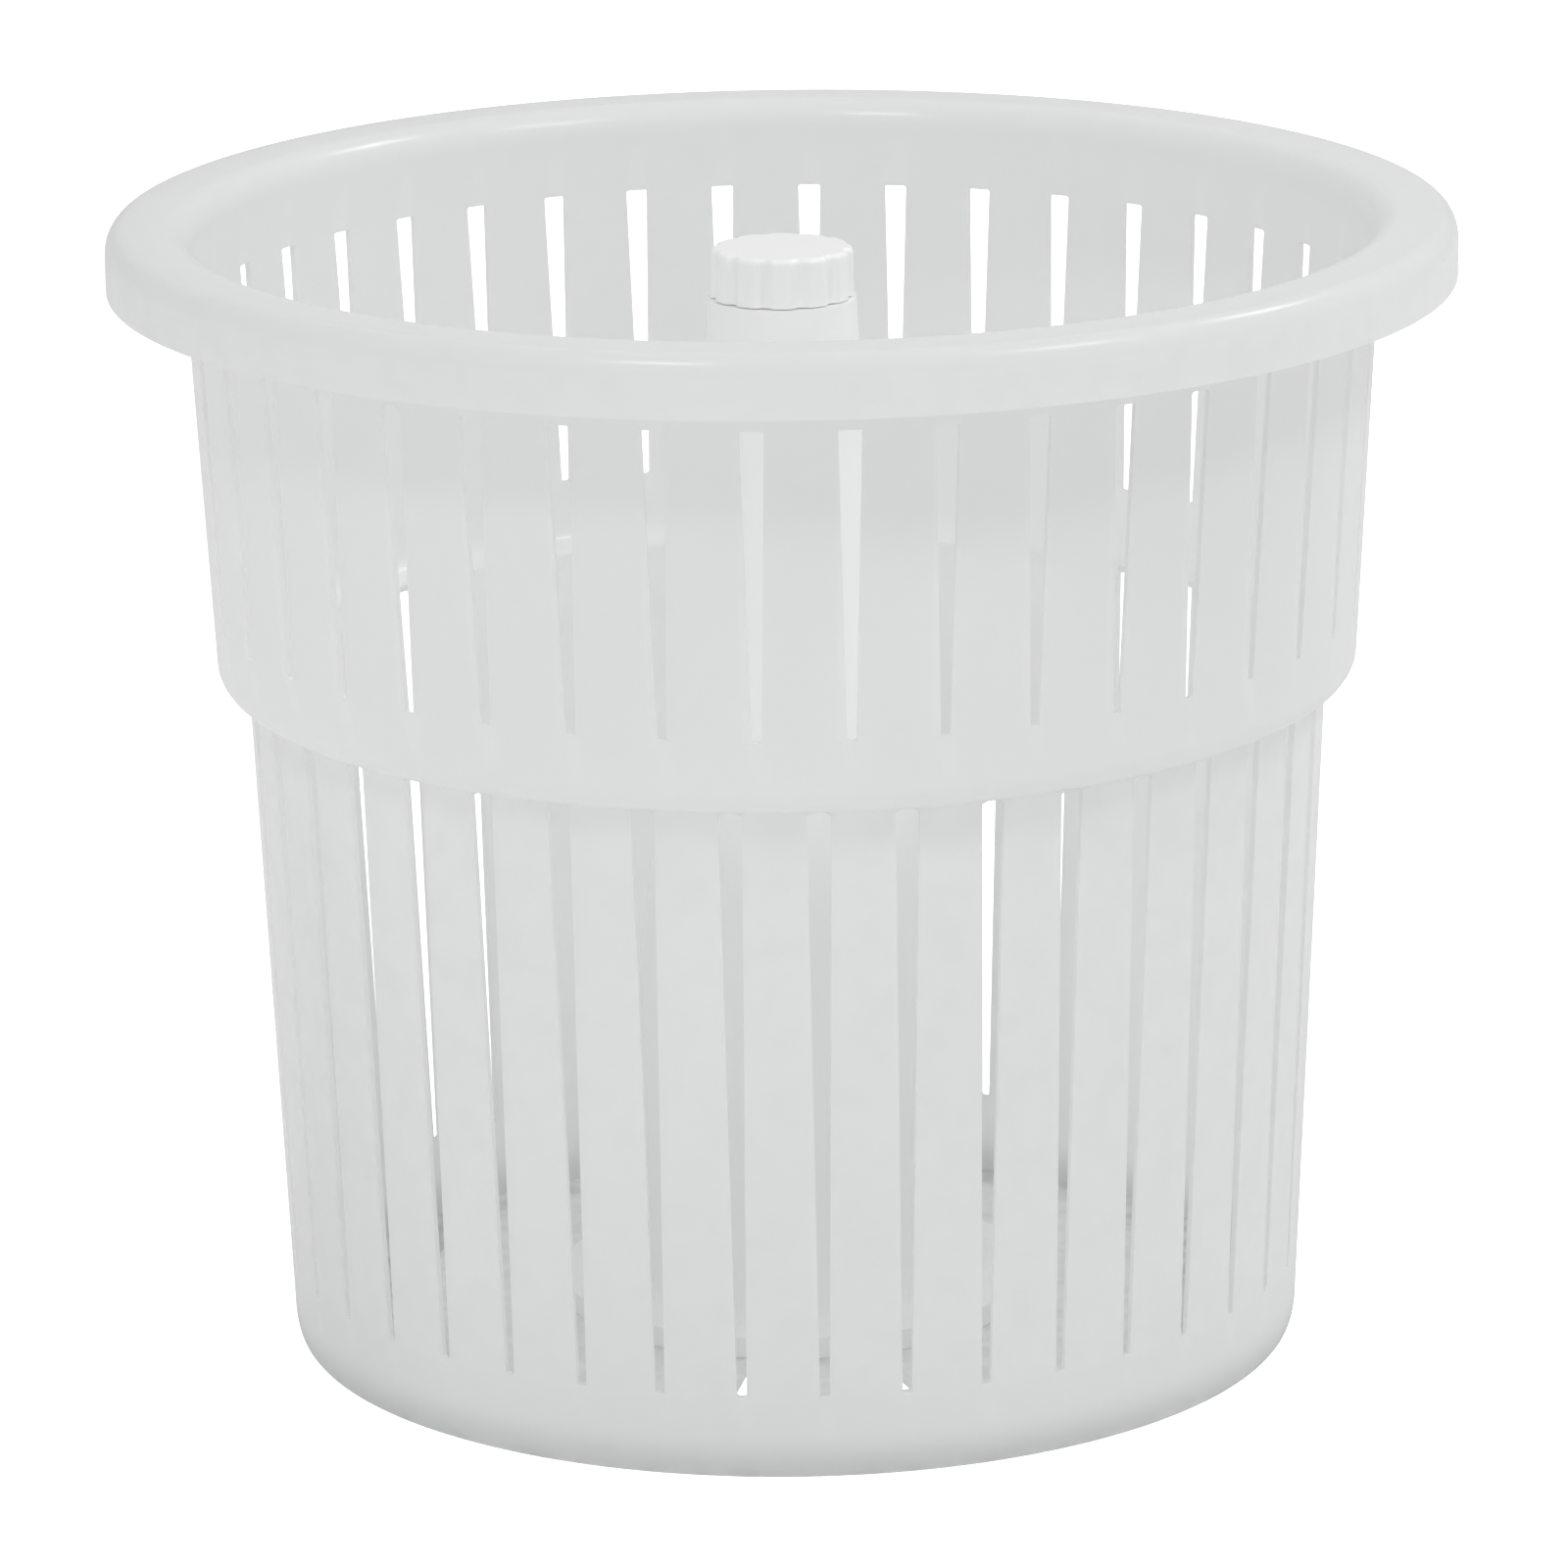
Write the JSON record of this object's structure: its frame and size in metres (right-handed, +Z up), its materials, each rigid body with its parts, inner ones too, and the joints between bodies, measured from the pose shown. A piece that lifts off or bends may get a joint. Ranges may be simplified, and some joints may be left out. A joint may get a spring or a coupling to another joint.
{
  "type": "salad spinner basket",
  "caption": "Tall slotted inner basket of a large hand-cranked salad spinner, with a central drive column, a toothed drive crown and a pivot sleeve that it spins on.",
  "frame": {"origin": "centre of the standing ring's underside, on the spin axis", "axes": "+Z up along the spin axis, -Y towards the side the picture shows, +X to its right"},
  "size_m": [0.3798, 0.3798, 0.326],
  "materials": {
    "basket_plastic": "natural polypropylene, semi-gloss, slightly milky",
    "column_plastic": "white polypropylene, semi-gloss",
    "pivot_acetal": "satin, self-lubricating",
    "stainless": "satin stainless steel",
    "insert_brass": "machined"
  },
  "bodies": {
    "basket": {"basket": "basket_plastic", "drive_column": "column_plastic", "drive_crown": "column_plastic", "crown_washer": "stainless", "crown_screw": "stainless", "crown_insert": "insert_brass", "pivot_bush": "pivot_acetal", "foot_screw_1": "stainless", "foot_insert_1": "insert_brass", "foot_screw_2": "stainless", "foot_insert_2": "insert_brass", "foot_screw_3": "stainless", "foot_insert_3": "insert_brass", "foot_screw_4": "stainless", "foot_insert_4": "insert_brass", "foot_screw_5": "stainless", "foot_insert_5": "insert_brass", "foot_screw_6": "stainless", "foot_insert_6": "insert_brass"},
    "pivot": {"pivot_sleeve": "stainless", "thrust_washer": "pivot_acetal", "retaining_clip": "stainless"}
  },
  "joints": [
    {"name": "pivot_spin", "type": "hinge", "parent": "basket", "child": "pivot", "pos_m": [0, 0, 0.018], "axis": [0, 0, 1], "continuous": true}
  ]
}
